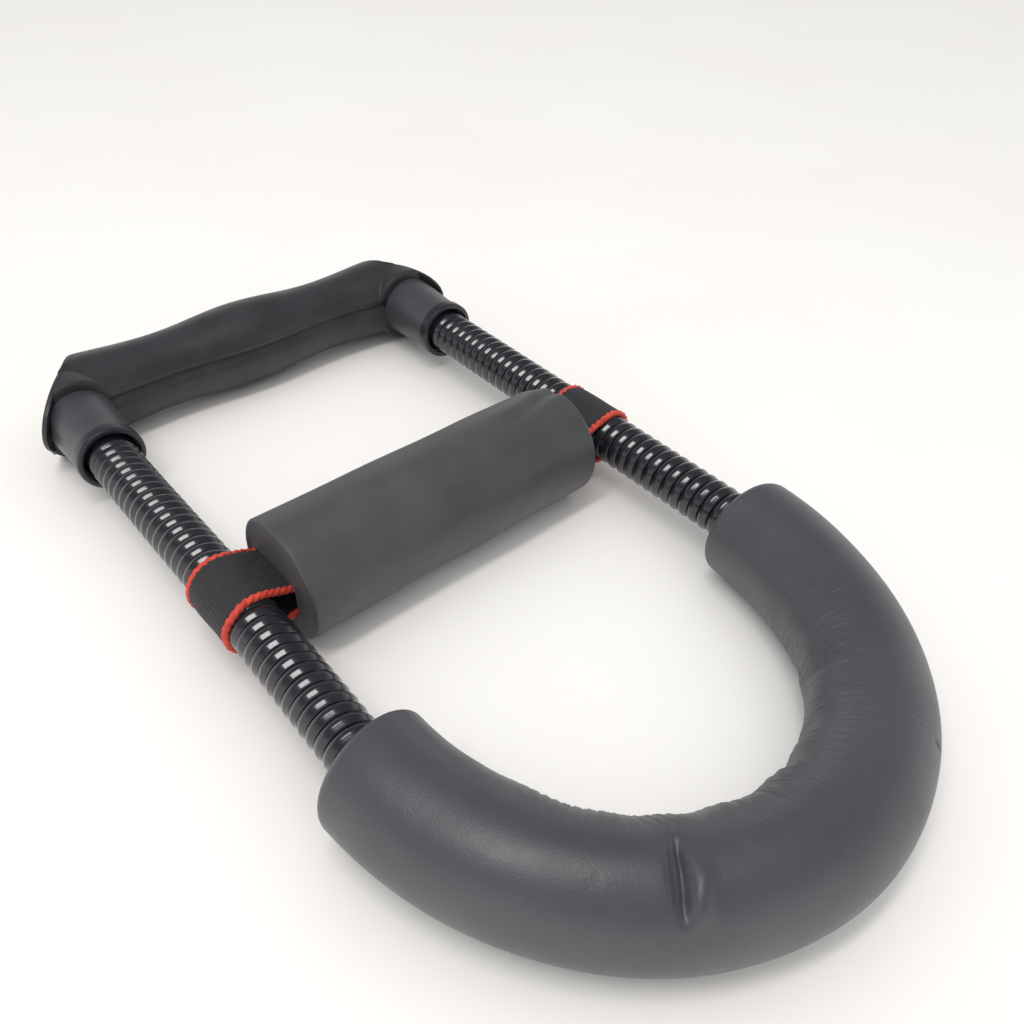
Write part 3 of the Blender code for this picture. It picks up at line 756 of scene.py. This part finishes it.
def roll_rows():
    """Place in X, radius and share of the slot's outline of each row: out along the skin, back inside."""
    rows = []
    for k in range(1, 8):
        a = math.pi / 2 * (1 - k / 8)
        place = -ROLL_HALF + ROLL_EDGE * (1 - math.sin(a))
        rows.append((place, ROLL_RADIUS - ROLL_EDGE * (1 - math.cos(a)), 0.0))
    span = 2 * (ROLL_HALF - ROLL_EDGE)
    for k in range(ROLL_ROWS + 1):
        rows.append((-ROLL_HALF + ROLL_EDGE + span * k / ROLL_ROWS, ROLL_RADIUS, 0.0))
    for k in range(1, 9):
        a = math.pi / 2 * k / 8
        place = ROLL_HALF - ROLL_EDGE * (1 - math.sin(a))
        rows.append((place, ROLL_RADIUS - ROLL_EDGE * (1 - math.cos(a)), 0.0))
    inner_edge = 0.06
    face = 12
    rim = ROLL_RADIUS - ROLL_EDGE
    rows += [(ROLL_HALF, rim, (1 - inner_edge) * k / face) for k in range(1, face + 1)]
    rows += [(ROLL_HALF - 0.0004, rim, 1 - inner_edge * 0.3), (ROLL_HALF - SLOT_EDGE, rim, 1.0)]
    slot = 2 * ROLL_HALF - 2 * SLOT_EDGE
    rows += [(ROLL_HALF - SLOT_EDGE - slot * k / SLOT_ROWS, rim, 1.0) for k in range(1, SLOT_ROWS + 1)]
    rows += [(-ROLL_HALF + 0.0004, rim, 1 - inner_edge * 0.3)]
    rows += [(-ROLL_HALF, rim, (1 - inner_edge) * (1 - k / face)) for k in range(face + 1)]
    return np.array(rows)


def make_roll(look):
    """The foam roll, with the slot that the strap runs through."""
    angle = np.linspace(0, 2 * math.pi, ROLL_COLUMNS)[None, :]
    rows = roll_rows()
    x = rows[:, 0][:, None] + 0 * angle
    r = rows[:, 1][:, None] + 0 * angle
    share = rows[:, 2][:, None] + 0 * angle
    angle = angle + 0 * x
    outside = (share == 0) * 1.0
    r = r + outside * roll_relief(x, angle)
    slot_y, slot_z = slot_outline(angle)
    y = r * np.cos(angle) * (1 - share) + (slot_y + strap_middle(ROLL_X + x) - ROLL_Y) * share
    z = r * np.sin(angle) * (1 - share) + (slot_z + SLOT_Z - ROLL_Z) * share
    x = x - np.sign(x) * ROLL_DISH * fade(share, 0.0, 0.7) * (np.abs(x) > ROLL_HALF - 0.002)
    points = np.stack([ROLL_X + x, ROLL_Y + y, ROLL_Z + z], axis=2)
    points[-1] = points[0]
    points[:, -1] = points[:, 0]
    roll = skin("wrist_roll_foam", turn_pad(points))
    smooth(roll, 60)
    coat(roll, look)
    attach(roll, "wrist_pad")
    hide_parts("wrist_roll")


def turn_pad(points):
    """Turns the roll or its strap a little about the roll's middle, as it lies in the photo."""
    made = points.copy()
    x, y = points[..., 0] - ROLL_X, points[..., 1] - ROLL_Y
    made[..., 0] = ROLL_X + x * math.cos(PAD_TURN) - y * math.sin(PAD_TURN)
    made[..., 1] = ROLL_Y + x * math.sin(PAD_TURN) + y * math.cos(PAD_TURN)
    return made


def roll_relief(x, angle):
    """Slow hollows in the roll, and the soft fold at its upper right end."""
    up, out = np.sin(angle), np.cos(angle)
    relief = 0.00020 * drift([(x, 0.045), (up, 1.8), (out, 1.8)], 21)
    turn = np.degrees(angle)
    near_end = fade(x, 0.016, 0.040)
    fold = 84 + 14 * fade(x, 0.055, 0.030)
    relief = relief - 0.0011 * near_end * bump_at(turn, fold, 7)
    relief = relief + 0.0005 * near_end * bump_at(turn, fold - 13, 8)
    relief = relief - 0.0006 * bump_at(x, -0.012, 0.016) * bump_at(turn, 190, 22)
    relief = relief - 0.0014 * fade(x, ROLL_HALF - 0.007, ROLL_HALF) * bump_at(turn, 58, 30)
    return relief


def strap_line():
    """The loop's line in X and Z, in fine steps: flat through the slot, round each spring."""
    inset = STRAP_IN_SLOT + STRAP_THICKNESS / 2
    top = SLOT_Z + SLOT_HALF_HEIGHT - inset
    bottom = SLOT_Z - SLOT_HALF_HEIGHT + inset
    steps = 90

    def touch(away, rise):
        """The angle at the spring's middle between the slot's mouth and where the strap first bears."""
        return math.acos(STRAP_REACH / math.hypot(away, rise))

    def loop(roll_end):
        away = SPRING_X - roll_end
        up, down = top - AXIS_Z, bottom - AXIS_Z
        upper = math.atan2(up, -away) - touch(away, up)
        lower = math.atan2(down, -away) + touch(away, down)
        turns = [lower + (upper - lower) * k / steps for k in range(steps + 1)]
        return [(SPRING_X + STRAP_REACH * math.cos(a), AXIS_Z + STRAP_REACH * math.sin(a)) for a in turns]

    right_end, left_end = ROLL_X + ROLL_HALF, ROLL_X - ROLL_HALF
    left = [(SPRING_BOW - x, z) for x, z in reversed(loop(SPRING_BOW - left_end))]
    line = [(left_end, bottom), (right_end, bottom)] + loop(right_end)
    line += [(right_end, top), (left_end, top)] + left
    return np.array(line + line[:1])


def strap_middle(x):
    """The strap's middle in Y: it lies a little askew where it leaves the roll's left end."""
    return STRAP_Y + STRAP_SKEW * bump_at(x, ROLL_X - ROLL_HALF, 0.010)


def even_steps(line, step):
    """A line's points at even distances, softened a little at its corners."""
    along = np.concatenate([[0], np.cumsum(np.hypot(*np.diff(line, axis=0).T))])
    count = round(along[-1] / step)
    at = np.linspace(0, along[-1], count + 1)
    made = np.stack([np.interp(at, along, line[:, k]) for k in range(2)], axis=1)[:-1]
    for _ in range(STRAP_SOFTENING):
        made = made + 0.25 * (np.roll(made, 1, axis=0) + np.roll(made, -1, axis=0) - 2 * made)
    return made, along[-1]


def make_strap(webbing, edging):
    """The webbing loop with its ribs, and a twisted red cord sewn along each edge."""
    line, around = even_steps(strap_line(), STRAP_STEP)
    count = len(line)
    ahead = np.roll(line, -1, axis=0) - np.roll(line, 1, axis=0)
    ahead /= np.linalg.norm(ahead, axis=1)[:, None]
    normal = np.stack([ahead[:, 1], -ahead[:, 0]], axis=1)
    along = np.arange(count) * around / count
    ribs = round(around / RIB_PITCH)
    rib = np.abs(np.cos(math.pi * along / around * ribs)) ** 0.7

    half = STRAP_HALF_WIDTH - EDGE_INSET
    thick = STRAP_THICKNESS / 2
    flat = 13
    across = [(-half + 2 * half * k / flat, 1.0) for k in range(flat + 1)]
    rim = [(half + 0.0004, 0.5), (half + 0.0004, -0.5)]
    under = [(w, -1.0) for w, _ in reversed(across)]
    section = across + rim + under + [(-w, -s) for w, s in rim]
    section = np.array(section + section[:1])
    height = thick * (0.80 + 0.24 * rib)[:, None] * section[None, :, 1]
    height = height + 0.00010 * drift([(along[:, None], 0.02), (section[None, :, 0], 0.02)], 31)
    points = np.stack([
        line[:, None, 0] + normal[:, None, 0] * height,
        strap_middle(line[:, 0])[:, None] + section[None, :, 0] + 0 * height,
        line[:, None, 1] + normal[:, None, 1] * height,
    ], axis=2)
    points = np.concatenate([points, points[:1]])
    strap = skin("strap_webbing", turn_pad(points))
    smooth(strap, 50)
    coat(strap, webbing)
    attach(strap, "wrist_pad")
    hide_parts("wrist_strap")

    for part, side in (("lower", -1), ("upper", 1)):
        edge_cord(f"strap_edge_{part}", side, line, normal, along, around, edging)


def edge_cord(name, side, line, normal, along, around, look):
    """Two strands twisted round each other along one edge of the strap."""
    twists = round(around / TWIST_PITCH)
    angle = np.linspace(0, 2 * math.pi, CORD_COLUMNS)[None, :]
    keep = slice(None, None, 2)
    line, normal, along = line[keep], normal[keep], along[keep]
    turn = 2 * math.pi * twists * along[:, None] / around
    radius = 0.00088 + 0.00036 * np.abs(np.cos(angle - turn)) ** 1.4
    sway = 0.00018 * drift([(along[:, None], 0.013)], 40 + side)
    middle = strap_middle(line[:, 0])[:, None]
    y = middle + side * (STRAP_HALF_WIDTH - EDGE_INSET) + radius * np.cos(angle) + sway
    out = radius * np.sin(angle)
    points = np.stack([
        line[:, None, 0] + normal[:, None, 0] * out,
        y,
        line[:, None, 1] + normal[:, None, 1] * out,
    ], axis=2)
    points = np.concatenate([points, points[:1]])
    points[:, -1] = points[:, 0]
    item = skin(name, turn_pad(points))
    smooth(item, 60)
    coat(item, look)
    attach(item, "wrist_pad")
    return item


# Handle

def grip_radius(x):
    away = abs(x)
    if away <= WAIST_X:
        share = 0.5 - 0.5 * math.cos(math.pi * away / WAIST_X)
        return GRIP_SWELL + (GRIP_WAIST - GRIP_SWELL) * share
    share = 0.5 - 0.5 * math.cos(math.pi * min(1.0, (away - WAIST_X) / (SHOULDER_X - WAIST_X)))
    return GRIP_WAIST + (GRIP_SHOULDER - GRIP_WAIST) * share


def mitre_normal(sign):
    level = math.cos(MITRE_LEAN)
    across, along = sign * math.cos(MITRE_ANGLE), math.sin(MITRE_ANGLE)
    return Vector((across * level, along * level, math.sin(MITRE_LEAN)))


def mitre_point(sign, out):
    """A point that far out from the plane of the grip's slanted end."""
    return Vector((sign * SPRING_X, GRIP_Y, AXIS_Z)) + mitre_normal(sign) * (out - MITRE_FROM_CORNER)


def cut(item, point, normal):
    """Cuts away what lies past a plane, and closes the cut."""
    edit_all(item)
    bpy.ops.mesh.bisect(plane_co=point, plane_no=normal, use_fill=True, clear_outer=True)
    done()


def unite(item, other):
    step = item.modifiers.new("unite", "BOOLEAN")
    step.object = other
    step.operation = "UNION"
    step.solver = "EXACT"
    apply_modifiers(item)
    bpy.data.objects.remove(other, do_unlink=True)


def press_crease(item):
    """Presses a soft valley into the bar where the two shells meet, and flattens its underside."""
    place = places_of(item)
    away = np.empty(place.size)
    item.data.vertex_normals.foreach_get("vector", away)
    away = away.reshape(place.shape)
    depth = CREASE_DEPTH * bump_at(place[:, 2], SPLIT_Z, CREASE_WIDTH)
    depth = depth * (1 - fade(np.abs(place[:, 0]), SPRING_X - 0.011, SPRING_X - 0.002))
    place = place - away * depth[:, None]
    place[:, 2] = np.maximum(place[:, 2], GRIP_FLOOR)
    move_to(item, place)


def grip_bar(name, low, high, stations):
    """The swelling bar between two places in X."""
    places = [low + (high - low) * k / stations for k in range(stations + 1)]
    bar = turned(name, [(grip_radius(x), x) for x in places], ROUND_STEPS)
    return lay(bar, "X", 0, GRIP_Y, AXIS_Z)


def make_grip(look):
    """The moulded grip: a swelling bar that runs into an elbow at each end, parted into two shells."""
    reach = SPRING_X + GRIP_PAST_ELBOW
    bar = grip_bar("grip_blank", -reach, reach, GRIP_STATIONS)
    depth = GRIP_Y - ELBOW_Y
    for side, sign in SIDES:
        outline = [(ELBOW_BORE, 0.0), (ELBOW_RADIUS, 0.0), (ELBOW_RADIUS, depth)]
        outline = rounded(outline, [0, ELBOW_ROUND, 0])
        elbow = turned(f"{side}_elbow", outline, ROUND_STEPS)
        unite(bar, lay(elbow, "Y", sign * SPRING_X, ELBOW_Y, AXIS_Z))
    blend_skin = bar.modifiers.new("remesh", "REMESH")
    blend_skin.mode = "VOXEL"
    blend_skin.voxel_size = BLEND_CELL
    ease = bar.modifiers.new("ease", "SMOOTH")
    ease.factor = 0.5
    ease.iterations = 2
    apply_modifiers(bar)
    press_crease(bar)
    for side, sign in SIDES:
        cut(bar, mitre_point(sign, CAP_FACE - CAP_THICKNESS - SHELL_GAP), mitre_normal(sign))

    lower = bar.copy()
    lower.data = bar.data.copy()
    bpy.context.scene.collection.objects.link(lower)
    shells = (
        ("grip_upper_shell", bar, "grip_upper", (0, 0, SPLIT_Z), (0, 0, -1)),
        ("grip_lower_shell", lower, "grip_lower", (0, 0, SPLIT_Z - SHELL_GAP), (0, 0, 1)),
    )
    for name, shell, node, point, normal in shells:
        name_it(shell, name)
        cut(shell, point, normal)
        smooth(shell, 50)
        flatten_flats(shell)
        coat(shell, look)
        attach(shell, "handle")
        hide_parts(node)


def soften_rim(cap, point, normal):
    """Bevels only the edges that lie in the cap's outer face."""
    edit_all(cap)
    bpy.ops.mesh.select_all(action="DESELECT")
    done()
    for edge in cap.data.edges:
        ends = [cap.data.vertices[k].co for k in edge.vertices]
        edge.select = all(abs((end - point).dot(normal)) < IN_PLANE for end in ends)
    for corner in cap.data.vertices:
        corner.select = abs((corner.co - point).dot(normal)) < IN_PLANE
    bpy.ops.object.mode_set(mode="EDIT")
    bpy.ops.mesh.select_mode(type="EDGE")
    bpy.ops.mesh.bevel(offset=CAP_ROUND, segments=4, affect="EDGES")
    bpy.ops.mesh.select_mode(type="VERT")
    done()


def square_rim(cap, point, normal):
    """Makes the rim of the plate's free part square to the plate, where it ran along the springs."""
    slide = Vector((0, 1 / normal.y, 0)) - normal
    for corner in cap.data.vertices:
        if abs((corner.co - point).dot(normal)) < IN_PLANE:
            share = float(fade(ELBOW_Y - corner.co.y, -0.004, 0.001))
            corner.co = corner.co + slide * CAP_THICKNESS * share


def make_end_caps(look):
    """The slanted plate over each end of the grip: the outline of bar and elbow, with a rounded rim."""
    for side, sign in SIDES:
        ends = sorted(sign * x for x in CAP_BLANK)
        cap = grip_bar(f"{side}_grip_cap", *ends, CAP_STATIONS)
        bpy.ops.mesh.primitive_cylinder_add(vertices=128, radius=ELBOW_RADIUS, depth=TONGUE_LENGTH)
        tongue = name_it(bpy.context.object, f"{side}_cap_tongue")
        lay(tongue, "Y", sign * SPRING_X, GRIP_Y - TONGUE_LENGTH / 2, AXIS_Z)
        unite(cap, tongue)
        normal = mitre_normal(sign)
        inner = mitre_point(sign, CAP_FACE - CAP_THICKNESS)
        outer = mitre_point(sign, CAP_FACE)
        cut(cap, outer, normal)
        cut(cap, inner, -normal)
        square_rim(cap, inner, normal)
        soften_rim(cap, outer, normal)
        cut(cap, (0, 0, CAP_FLOOR), (0, 0, -1))
        smooth(cap, 40)
        flatten_flats(cap)
        coat(cap, look)
        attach(cap, "handle")
        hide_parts(f"{side}_end_cap")


def make_sockets(look, collar_look):
    """The glossy tube that takes each spring's end, and the ring at its mouth."""
    for side, sign in SIDES:
        base = ELBOW_Y - MOUTH_Y
        outline = [
            (SOCKET_BORE, SOCKET_FLOOR), (SOCKET_BORE, SOCKET_MOUTH),
            (SOCKET_RADIUS, SOCKET_MOUTH), (SOCKET_RADIUS, 0.009),
            (SOCKET_RADIUS + SOCKET_FLARE, base - 0.0003), (SOCKET_RADIUS - 0.0010, base + 0.0002),
        ]
        outline = rounded(outline, [0, 0.0008, 0.0006, 0.012, 0.0006, 0])
        socket = turned(f"{side}_socket_tube", outline, ROUND_STEPS)
        lay(socket, "Y", sign * SPRING_X, MOUTH_Y, AXIS_Z)
        cut(socket, mitre_point(sign, CAP_FACE - CAP_THICKNESS / 2), mitre_normal(sign))
        smooth(socket, 40)
        coat(socket, look)
        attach(socket, "handle")
        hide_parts(f"{side}_socket")

        inside = COLLAR_RADIUS - COLLAR_WALL
        outline = [
            (inside, COLLAR_LENGTH), (COLLAR_RADIUS, COLLAR_LENGTH), (COLLAR_RADIUS, 0.0),
            (COLLAR_BORE, 0.0), (COLLAR_BORE, COLLAR_LIP), (inside, COLLAR_LIP), (inside, COLLAR_LENGTH),
        ]
        outline = rounded(outline, [0, 0.0002, 0.0012, 0.0006, 0.0002, 0, 0])
        collar = turned(f"{side}_socket_collar", outline, ROUND_STEPS, closed=True)
        lay(collar, "Y", sign * SPRING_X, MOUTH_Y, AXIS_Z)
        smooth(collar, 40)
        coat(collar, collar_look)
        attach(collar, "handle")
        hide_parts(f"{side}_collar")


def finish_metal(look):
    """The hidden rods, seats, studs and screws keep their solids, in turned steel."""
    names = ["arm_rod", "left_arm_seat", "right_arm_seat"]
    names += ["handle_rod", "left_handle_stud", "right_handle_stud"]
    names += [f"grip_screw_{k}" for k in (1, 2, 3)]
    for name in names:
        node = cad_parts[name]
        coat(node, look)


# Studio

def add_camera():
    level = Vector((math.cos(CAMERA_YAW), -math.sin(CAMERA_YAW), 0))
    flat = math.cos(CAMERA_PITCH)
    forward = Vector((math.sin(CAMERA_YAW) * flat, math.cos(CAMERA_YAW) * flat, -math.sin(CAMERA_PITCH)))
    down = forward.cross(level)
    right = level * math.cos(CAMERA_ROLL) + down * math.sin(CAMERA_ROLL)
    up = level * math.sin(CAMERA_ROLL) - down * math.cos(CAMERA_ROLL)
    deselect()
    bpy.ops.object.camera_add()
    camera = bpy.context.object
    camera.data.lens = CAMERA_LENS
    camera.data.sensor_width = 36
    camera.data.clip_start = 0.01
    turn = Matrix((right, up, -forward)).transposed().to_4x4()
    camera.matrix_world = Matrix.Translation(CAMERA_PLACE) @ turn
    bpy.context.scene.camera = camera


def add_lamp(name, place, aim, size, energy):
    """A rectangle of light, its long side along X as far as its aim allows."""
    deselect()
    bpy.ops.object.light_add(type="AREA", location=place)
    lamp = bpy.context.object
    lamp.name = name
    lamp.data.shape = "RECTANGLE"
    lamp.data.size, lamp.data.size_y = size
    lamp.data.energy = energy
    back = (Vector(place) - Vector(aim)).normalized()
    across = (Vector((1, 0, 0)) - back * back.x).normalized()
    turn = Matrix((across, back.cross(across), back)).transposed()
    lamp.rotation_mode = "QUATERNION"
    lamp.rotation_quaternion = turn.to_quaternion()


def add_floor():
    deselect()
    bpy.ops.mesh.primitive_plane_add(size=8, location=(0, 0, 0))
    floor = name_it(bpy.context.object, "floor")
    look = Look("pale_floor", (0.92, 0.885, 0.845), 0.42, Specular_IOR_Level=0.3)
    clouds = look.spread(look.noise(5.0, 5.0), 0.35, 0.7)
    look.colour(look.mix(clouds, (0.925, 0.885, 0.84), (0.945, 0.915, 0.88)))
    look.raise_by(look.noise(120.0, 3.0), 0.0003, 0.1)
    coat(floor, look)


def add_world():
    """Soft light, stronger from above, and a white background that darkens overhead like a ceiling."""
    world = bpy.context.scene.world or bpy.data.worlds.new("studio")
    bpy.context.scene.world = world
    world.use_nodes = True
    tree = world.node_tree
    tree.nodes.clear()
    place = tree.nodes.new("ShaderNodeTexCoord")
    split = tree.nodes.new("ShaderNodeSeparateXYZ")
    tree.links.new(place.outputs["Generated"], split.inputs[0])
    parts = []
    lit = {"From Min": 0.0, "From Max": 1.0, "To Min": 0.52, "To Max": 1.165}
    shown = {"From Min": 0.16, "From Max": 0.50, "To Min": 1.0, "To Max": 0.22}
    for ends in (lit, shown):
        rise = tree.nodes.new("ShaderNodeMapRange")
        for key, number in ends.items():
            rise.inputs[key].default_value = number
        tree.links.new(split.outputs["Z"], rise.inputs["Value"])
        part = tree.nodes.new("ShaderNodeBackground")
        part.inputs["Color"].default_value = (1, 1, 1, 1)
        tree.links.new(rise.outputs["Result"], part.inputs["Strength"])
        parts.append(part)
    soft, white = parts
    soft.inputs["Color"].default_value = (0.97, 0.985, 1.0, 1)
    path = tree.nodes.new("ShaderNodeLightPath")
    seen = path.outputs["Is Camera Ray"]
    for ray in ("Is Transmission Ray", "Is Glossy Ray"):
        either = tree.nodes.new("ShaderNodeMath")
        either.operation = "MAXIMUM"
        tree.links.new(seen, either.inputs[0])
        tree.links.new(path.outputs[ray], either.inputs[1])
        seen = either.outputs[0]
    mix = tree.nodes.new("ShaderNodeMixShader")
    tree.links.new(seen, mix.inputs[0])
    tree.links.new(soft.outputs[0], mix.inputs[1])
    tree.links.new(white.outputs[0], mix.inputs[2])
    out = tree.nodes.new("ShaderNodeOutputWorld")
    tree.links.new(mix.outputs[0], out.inputs[0])


def make_studio():
    add_camera()
    add_floor()
    add_world()
    add_lamp("key", place=(-0.32, -0.10, 0.94), aim=(0, 0, 0.02), size=(0.60, 0.12), energy=2.98)
    bpy.context.scene.view_settings.view_transform = "Standard"


make_studio()

FOAM = foam_look(
    "charcoal_foam", (0.041, 0.043, 0.050), (0.052, 0.055, 0.063), 28.0, 1.0, 0.42, 0.50
)
ROLL_FOAM = foam_look(
    "wrist_roll_foam", (0.045, 0.046, 0.050), (0.064, 0.066, 0.071), 45.0, 0.8, 0.48, 0.58
)
GRIP = plastic_look("grip_plastic", (0.027, 0.028, 0.031), 0.36, 0.47, 0.5)
ENAMEL = enamel_look()
SOCKET = plastic_look("socket_plastic", (0.040, 0.042, 0.047), 0.38, 0.46, 0.3, 1.0)
COLLAR = plastic_look("collar_plastic", (0.014, 0.015, 0.019), 0.30, 0.40, 0.3, 0.6)

make_sleeve(FOAM)
for side, sign in SIDES:
    make_spring(side, sign, ENAMEL)
make_roll(ROLL_FOAM)
make_strap(webbing_look(), edging_look())
make_grip(GRIP)
make_end_caps(GRIP)
make_sockets(SOCKET, COLLAR)
finish_metal(steel_look())
